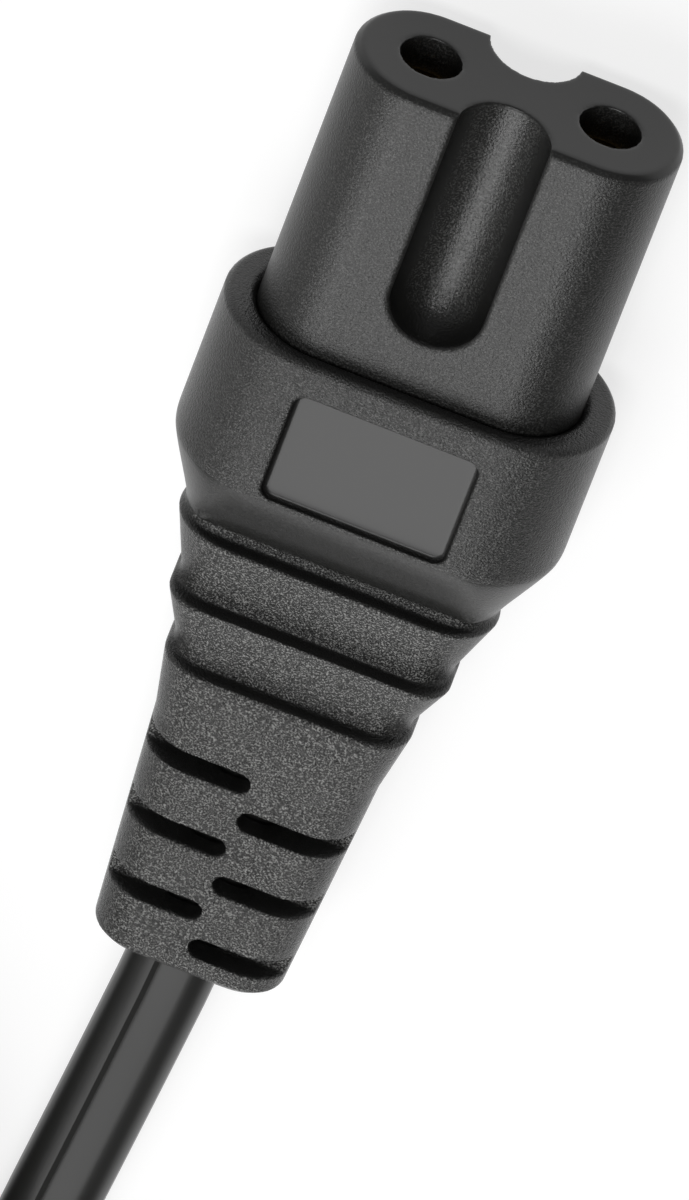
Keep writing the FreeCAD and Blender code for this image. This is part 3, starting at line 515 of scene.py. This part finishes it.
def mouldedPvc(finish):
    material, tree = newMaterial("mouldedPvc")
    place = addNode(tree, "ShaderNodeTexCoord", {}).node.outputs["Object"]
    split = addNode(tree, "ShaderNodeSeparateXYZ", {"Vector": place}).node.outputs
    along, height = split["Y"], split["Z"]
    aside = addNode(tree, "ShaderNodeMath", {0: split["X"]}, operation="ABSOLUTE")
    # where each kind of surface is
    onRelief = addNode(tree, "ShaderNodeMath", {0: along, 1: finish["reliefStart"]},
                       operation="LESS_THAN")
    belowSlope = addNode(tree, "ShaderNodeMath", {0: along, 1: finish["slope"][0]},
                         operation="LESS_THAN")
    aboveSlope = addNode(tree, "ShaderNodeMath", {0: along, 1: finish["slope"][1]},
                         operation="GREATER_THAN")
    pastSlope = addNode(tree, "ShaderNodeMath", {0: belowSlope, 1: aboveSlope}, operation="MAXIMUM")
    offSlope = addNode(tree, "ShaderNodeMath", {0: pastSlope, 1: finish["slopeGrain"]},
                       operation="MAXIMUM")
    halfWidth, low, high, floorTop = finish["panel"]
    onPanel = 1.0
    for value, test, limit in ((aside, "LESS_THAN", halfWidth),
                               (along, "GREATER_THAN", low),
                               (along, "LESS_THAN", high),
                               (height, "GREATER_THAN", floorTop / 2),
                               (height, "LESS_THAN", floorTop)):
        within = addNode(tree, "ShaderNodeMath", {0: value, 1: limit}, operation=test)
        onPanel = addNode(tree, "ShaderNodeMath", {0: onPanel, 1: within}, operation="MULTIPLY")
    offPanel = addNode(tree, "ShaderNodeMath", {0: 1.0, 1: onPanel}, operation="SUBTRACT")
    grained = addNode(tree, "ShaderNodeMath", {0: offSlope, 1: offPanel}, operation="MULTIPLY")
    # the two grains, as bumps
    fine = addNode(tree, "ShaderNodeTexNoise",
                   {"Vector": place, "Scale": 1 / finish["grain"], **finish["grainNoise"]})
    coarse = addNode(tree, "ShaderNodeTexNoise",
                     {"Vector": place, "Scale": 1 / finish["coarse"], **finish["coarseNoise"]})
    grainRise = addNode(tree, "ShaderNodeMath", {0: fine, 1: grained}, operation="MULTIPLY")
    coarseRise = addNode(tree, "ShaderNodeMath", {0: coarse, 1: onRelief}, operation="MULTIPLY")
    fineBump = addNode(tree, "ShaderNodeBump", {"Height": grainRise, "Strength": 1.0,
                                                "Distance": finish["grainRise"]})
    bump = addNode(tree, "ShaderNodeBump", {"Height": coarseRise, "Strength": 1.0,
                                            "Distance": finish["coarseRise"], "Normal": fineBump})
    dull = addNode(tree, "ShaderNodeMapRange", {"Value": grained, "To Min": finish["dull"][0],
                                                "To Max": finish["dull"][1]})
    gloss = addNode(tree, "ShaderNodeMath", {0: onRelief, 1: finish["reliefGloss"]},
                    operation="MULTIPLY")
    roughness = addNode(tree, "ShaderNodeMath", {0: dull, 1: gloss}, operation="SUBTRACT")
    # the painted glints: pale flecks in the colour, as painted highlights, on what faces up to the
    # lamps
    glintSpots = addNode(tree, "ShaderNodeTexNoise",
                     {"Vector": place, "Scale": 1 / finish["glintSize"], **finish["glintNoise"]})
    lit = addNode(tree, "ShaderNodeMapRange", {"Value": glintSpots, "From Min": finish["glintFrom"][0],
                                               "From Max": finish["glintFrom"][1]})
    share = addNode(tree, "ShaderNodeMapRange", {
        "Value": along, "From Min": finish["glintTurn"][0], "From Max": finish["glintTurn"][1],
        "To Min": finish["glintShare"][0], "To Max": finish["glintShare"][1]})
    facing = addNode(tree, "ShaderNodeNewGeometry", {}).node.outputs["Normal"]
    upward = addNode(tree, "ShaderNodeSeparateXYZ", {"Vector": facing}).node.outputs["Z"]
    turnedToLight = addNode(tree, "ShaderNodeMapRange", {
        "Value": upward, "From Min": finish["glintUpright"][0], "From Max": finish["glintUpright"][1]})
    shown = addNode(tree, "ShaderNodeMath", {0: share, 1: turnedToLight}, operation="MULTIPLY")
    strewn = addNode(tree, "ShaderNodeMath", {0: lit, 1: shown}, operation="MULTIPLY")
    paintedGlints = addNode(tree, "ShaderNodeMath", {0: strewn, 1: grained}, operation="MULTIPLY")
    colour = addNode(tree, "ShaderNodeMixRGB", {"Fac": paintedGlints, "Color1": linear(finish["colour"]),
                                                "Color2": linear(finish["paintedGlint"])})
    finishMaterial(tree, {"Base Color": colour, "Roughness": roughness, "IOR": finish["ior"],
                          "Normal": bump})
    return material


# Hard moulded nylon: black, finely grained on the nose's sides, plain on its end face and polished in
# the groove, with painted glints, pale flecks in the colour as painted highlights on what faces up.
# Grain and glints are drawn coarser than the real ones here too.

noseFinish = {
    "colour": "#1c1c1b",
    # painted highlight: the colour of the glints mixed into the black
    "paintedGlint": "#8a8a88",                   # the grain's lit facets
    "glintSize": 0.09 * mm,
    "glintNoise": {"Detail": 1.0, "Roughness": 0.5},
    "glintFrom": (0.48, 0.72),            # the noise where a facet begins and where it is fully lit
    "glintShare": 0.25,
    "glintUpright": (0.55, 0.92),         # the normal's z, from the sides to the flats
    "grain": 0.11 * mm,
    "grainNoise": {"Detail": 2.0, "Roughness": 0.6},
    "grainRise": 0.04 * mm,
    "smoothFrom": noseHigh.y - 0.25 * mm,                   # y where the end face begins
    "groove": (2.4 * mm, noseHigh.z - 0.15 * mm),           # half width and highest z
    "dull": 0.36,
    "groovePolish": 0.2,                  # the groove is less dull by this much
    "ior": 1.49,
}


def mouldedNylon(finish):
    material, tree = newMaterial("mouldedNylon")
    place = addNode(tree, "ShaderNodeTexCoord", {}).node.outputs["Object"]
    split = addNode(tree, "ShaderNodeSeparateXYZ", {"Vector": place}).node.outputs
    onSides = addNode(tree, "ShaderNodeMath", {0: split["Y"], 1: finish["smoothFrom"]},
                      operation="LESS_THAN")
    grain = addNode(tree, "ShaderNodeTexNoise",
                    {"Vector": place, "Scale": 1 / finish["grain"], **finish["grainNoise"]})
    rise = addNode(tree, "ShaderNodeMath", {0: grain, 1: onSides}, operation="MULTIPLY")
    bump = addNode(tree, "ShaderNodeBump", {"Height": rise, "Strength": 1.0,
                                            "Distance": finish["grainRise"]})
    # the painted glints: pale flecks in the colour, as painted highlights, on what faces up to the
    # lamps
    glintSpots = addNode(tree, "ShaderNodeTexNoise",
                     {"Vector": place, "Scale": 1 / finish["glintSize"], **finish["glintNoise"]})
    lit = addNode(tree, "ShaderNodeMapRange", {"Value": glintSpots, "From Min": finish["glintFrom"][0],
                                               "From Max": finish["glintFrom"][1],
                                               "To Max": finish["glintShare"]})
    facing = addNode(tree, "ShaderNodeNewGeometry", {}).node.outputs["Normal"]
    upward = addNode(tree, "ShaderNodeSeparateXYZ", {"Vector": facing}).node.outputs["Z"]
    turnedToLight = addNode(tree, "ShaderNodeMapRange", {
        "Value": upward, "From Min": finish["glintUpright"][0], "From Max": finish["glintUpright"][1]})
    paintedGlints = addNode(tree, "ShaderNodeMath", {0: lit, 1: turnedToLight}, operation="MULTIPLY")
    colour = addNode(tree, "ShaderNodeMixRGB", {"Fac": paintedGlints, "Color1": linear(finish["colour"]),
                                                "Color2": linear(finish["paintedGlint"])})
    # the polished groove
    halfWidth, grooveTop = finish["groove"]
    aside = addNode(tree, "ShaderNodeMath", {0: split["X"]}, operation="ABSOLUTE")
    inAcross = addNode(tree, "ShaderNodeMath", {0: aside, 1: halfWidth}, operation="LESS_THAN")
    inDeep = addNode(tree, "ShaderNodeMath", {0: split["Z"], 1: grooveTop}, operation="LESS_THAN")
    inGroove = addNode(tree, "ShaderNodeMath", {0: inAcross, 1: inDeep}, operation="MULTIPLY")
    polished = addNode(tree, "ShaderNodeMath", {0: inGroove, 1: onSides}, operation="MULTIPLY")
    gloss = addNode(tree, "ShaderNodeMath", {0: polished, 1: finish["groovePolish"]},
                    operation="MULTIPLY")
    roughness = addNode(tree, "ShaderNodeMath", {0: finish["dull"], 1: gloss}, operation="SUBTRACT")
    finishMaterial(tree, {"Base Color": colour, "Roughness": roughness, "IOR": finish["ior"],
                          "Normal": bump})
    return material


# Extruded PVC jacket: satin black, with faint lines drawn along it by the die

jacketFinish = {
    "colour": "#222221",
    "streakLength": 25.0 * mm,
    "streakWidth": 0.35 * mm,
    "streakNoise": {"Detail": 3.0, "Roughness": 0.6},
    "streakRise": 0.004 * mm,
    "roughness": 0.33,
    "ior": 1.38,                          # below PVC's own, because the satin is faint
}


def extrudedPvc(finish):
    material, tree = newMaterial("extrudedPvc")
    place = addNode(tree, "ShaderNodeUVMap", {}, uv_map="lengthwise")
    drawn = addNode(tree, "ShaderNodeMapping", {
        "Vector": place, "Scale": (1 / finish["streakLength"], 1 / finish["streakWidth"], 1.0)})
    streaks = addNode(tree, "ShaderNodeTexNoise",
                      {"Vector": drawn, "Scale": 1.0, **finish["streakNoise"]})
    bump = addNode(tree, "ShaderNodeBump", {"Height": streaks, "Strength": 1.0,
                                            "Distance": finish["streakRise"]})
    finishMaterial(tree, {"Base Color": linear(finish["colour"]), "Roughness": finish["roughness"],
                          "IOR": finish["ior"], "Normal": bump})
    return material


def plainFinish(name, colour, inputs):
    material, tree = newMaterial(name)
    finishMaterial(tree, {"Base Color": linear(colour), **inputs})
    return material


pvc = mouldedPvc(overmouldFinish)
nylon = mouldedNylon(noseFinish)
jacket = extrudedPvc(jacketFinish)
# brass formed from strip is warm and half bright, drawn copper redder and duller,
# and nickel plate pale and bright
formedBrass = plainFinish("formedBrass", "#c8a35a", {"Metallic": 1.0, "Roughness": 0.3})
bareCopper = plainFinish("bareCopper", "#d08a62", {"Metallic": 1.0, "Roughness": 0.35})
nickelPlate = plainFinish("nickelPlate", "#d6d2c9", {"Metallic": 1.0, "Roughness": 0.22})
# extruded PVC round the two cores: smooth and satin, brown and blue
brownSheath = plainFinish("brownSheath", "#5f3b22", {"Roughness": 0.4, "IOR": 1.53})
blueSheath = plainFinish("blueSheath", "#2c56a8", {"Roughness": 0.4, "IOR": 1.53})
# PVC from a finely blasted mould: an even dull black, with no grain that shows
plugPvc = plainFinish("plugPvc", "#222221", {"Roughness": 0.4, "IOR": 1.49})
# wire in a plastic coat: dull and nearly black
coatedWire = plainFinish("coatedWire", "#2c2c2b", {"Roughness": 0.42, "IOR": 1.51})

finishes = {
    "plug_overmould": plugPvc,
    "bridge": nylon,
    "sleeve": nylon,
    "contact": formedBrass,
    "conductor": bareCopper,
    "pin": nickelPlate,
    "core_left": brownSheath,
    "core_right": blueSheath,
}
for name, node in nodes.items():
    for word, material in finishes.items():
        if word in name:
            dress(node, material)
dress(mouldedBody, pvc)
dress(mouldedNose, nylon)
dress(flexCord, jacket)
dress(tieStrip, coatedWire)
print("finishes given")

# Stage: a floor that looks white and keeps a faint shadow, a dim surround, lighter on the left,
# and soft lamps

stageLook = {
    "floorSize": 6.0,
    "floorColour": "#989898",
    "floorGlow": 0.74,                    # what the eye and mirrors see besides the light on it
    "leftSide": 0.4,                      # the surround's strength on either side
    "rightSide": 0.1,
}


def addFloor(look):
    bpy.ops.object.select_all(action="DESELECT")
    bpy.ops.mesh.primitive_plane_add(size=look["floorSize"])
    floor = bpy.context.object
    floor.name = "paleFloor"
    # matt backdrop paper: even and white, with nothing on it but the part's faint shadow
    material, tree = newMaterial("palePaper")
    rays = addNode(tree, "ShaderNodeLightPath", {}).node.outputs
    mirrored = addNode(tree, "ShaderNodeMath",
                       {0: rays["Is Glossy Ray"], 1: rays["Is Transmission Ray"]}, operation="ADD")
    seen = addNode(tree, "ShaderNodeMath", {0: rays["Is Camera Ray"], 1: mirrored}, operation="ADD")
    strength = addNode(tree, "ShaderNodeMath", {0: seen, 1: look["floorGlow"]}, operation="MULTIPLY")
    glow = addNode(tree, "ShaderNodeEmission", {"Strength": strength})
    paper = addNode(tree, "ShaderNodeBsdfDiffuse", {"Color": linear(look["floorColour"])})
    both = addNode(tree, "ShaderNodeAddShader", {0: paper, 1: glow})
    addNode(tree, "ShaderNodeOutputMaterial", {"Surface": both})
    dress(floor, material)


def addSurround(look):
    world = bpy.data.worlds.new("whiteSurround")
    world.use_nodes = True
    tree = world.node_tree
    tree.nodes.clear()
    way = addNode(tree, "ShaderNodeTexCoord", {}).node.outputs["Generated"]
    rightward = addNode(tree, "ShaderNodeSeparateXYZ", {"Vector": way}).node.outputs["X"]
    strength = addNode(tree, "ShaderNodeMapRange", {
        "Value": rightward, "From Min": -1.0, "To Min": look["leftSide"], "To Max": look["rightSide"]})
    light = addNode(tree, "ShaderNodeBackground", {"Strength": strength})
    addNode(tree, "ShaderNodeOutputWorld", {"Surface": light})
    bpy.context.scene.world = world


# metres and watts, each lamp turned to the connector
softLamps = [
    {"name": "overheadSoftbox", "from": (-0.1, -0.55, 0.83), "size": 0.7, "power": 5.6},
    {"name": "cordSideSoftbox", "from": (-0.1, -0.95, 0.25), "size": 0.6, "power": 1.5},
    {"name": "leftSoftbox", "from": (-0.85, -0.35, 0.4), "size": 0.6, "power": 0.8},
    {"name": "topSoftbox", "from": (0.0, 0.25, 1.0), "size": 0.35, "power": 3.0},
]


def addLamps(lamps):
    for lamp in lamps:
        data = bpy.data.lights.new(lamp["name"], "AREA")
        data.size = lamp["size"]
        data.energy = lamp["power"]
        box = bpy.data.objects.new(lamp["name"], data)
        box.location = lamp["from"]
        box.rotation_euler = (-Vector(lamp["from"])).to_track_quat("-Z", "Y").to_euler()
        bpy.context.scene.collection.objects.link(box)


addFloor(stageLook)
addSurround(stageLook)
addLamps(softLamps)
bpy.context.scene.view_settings.view_transform = "Standard"
print("stage lit")
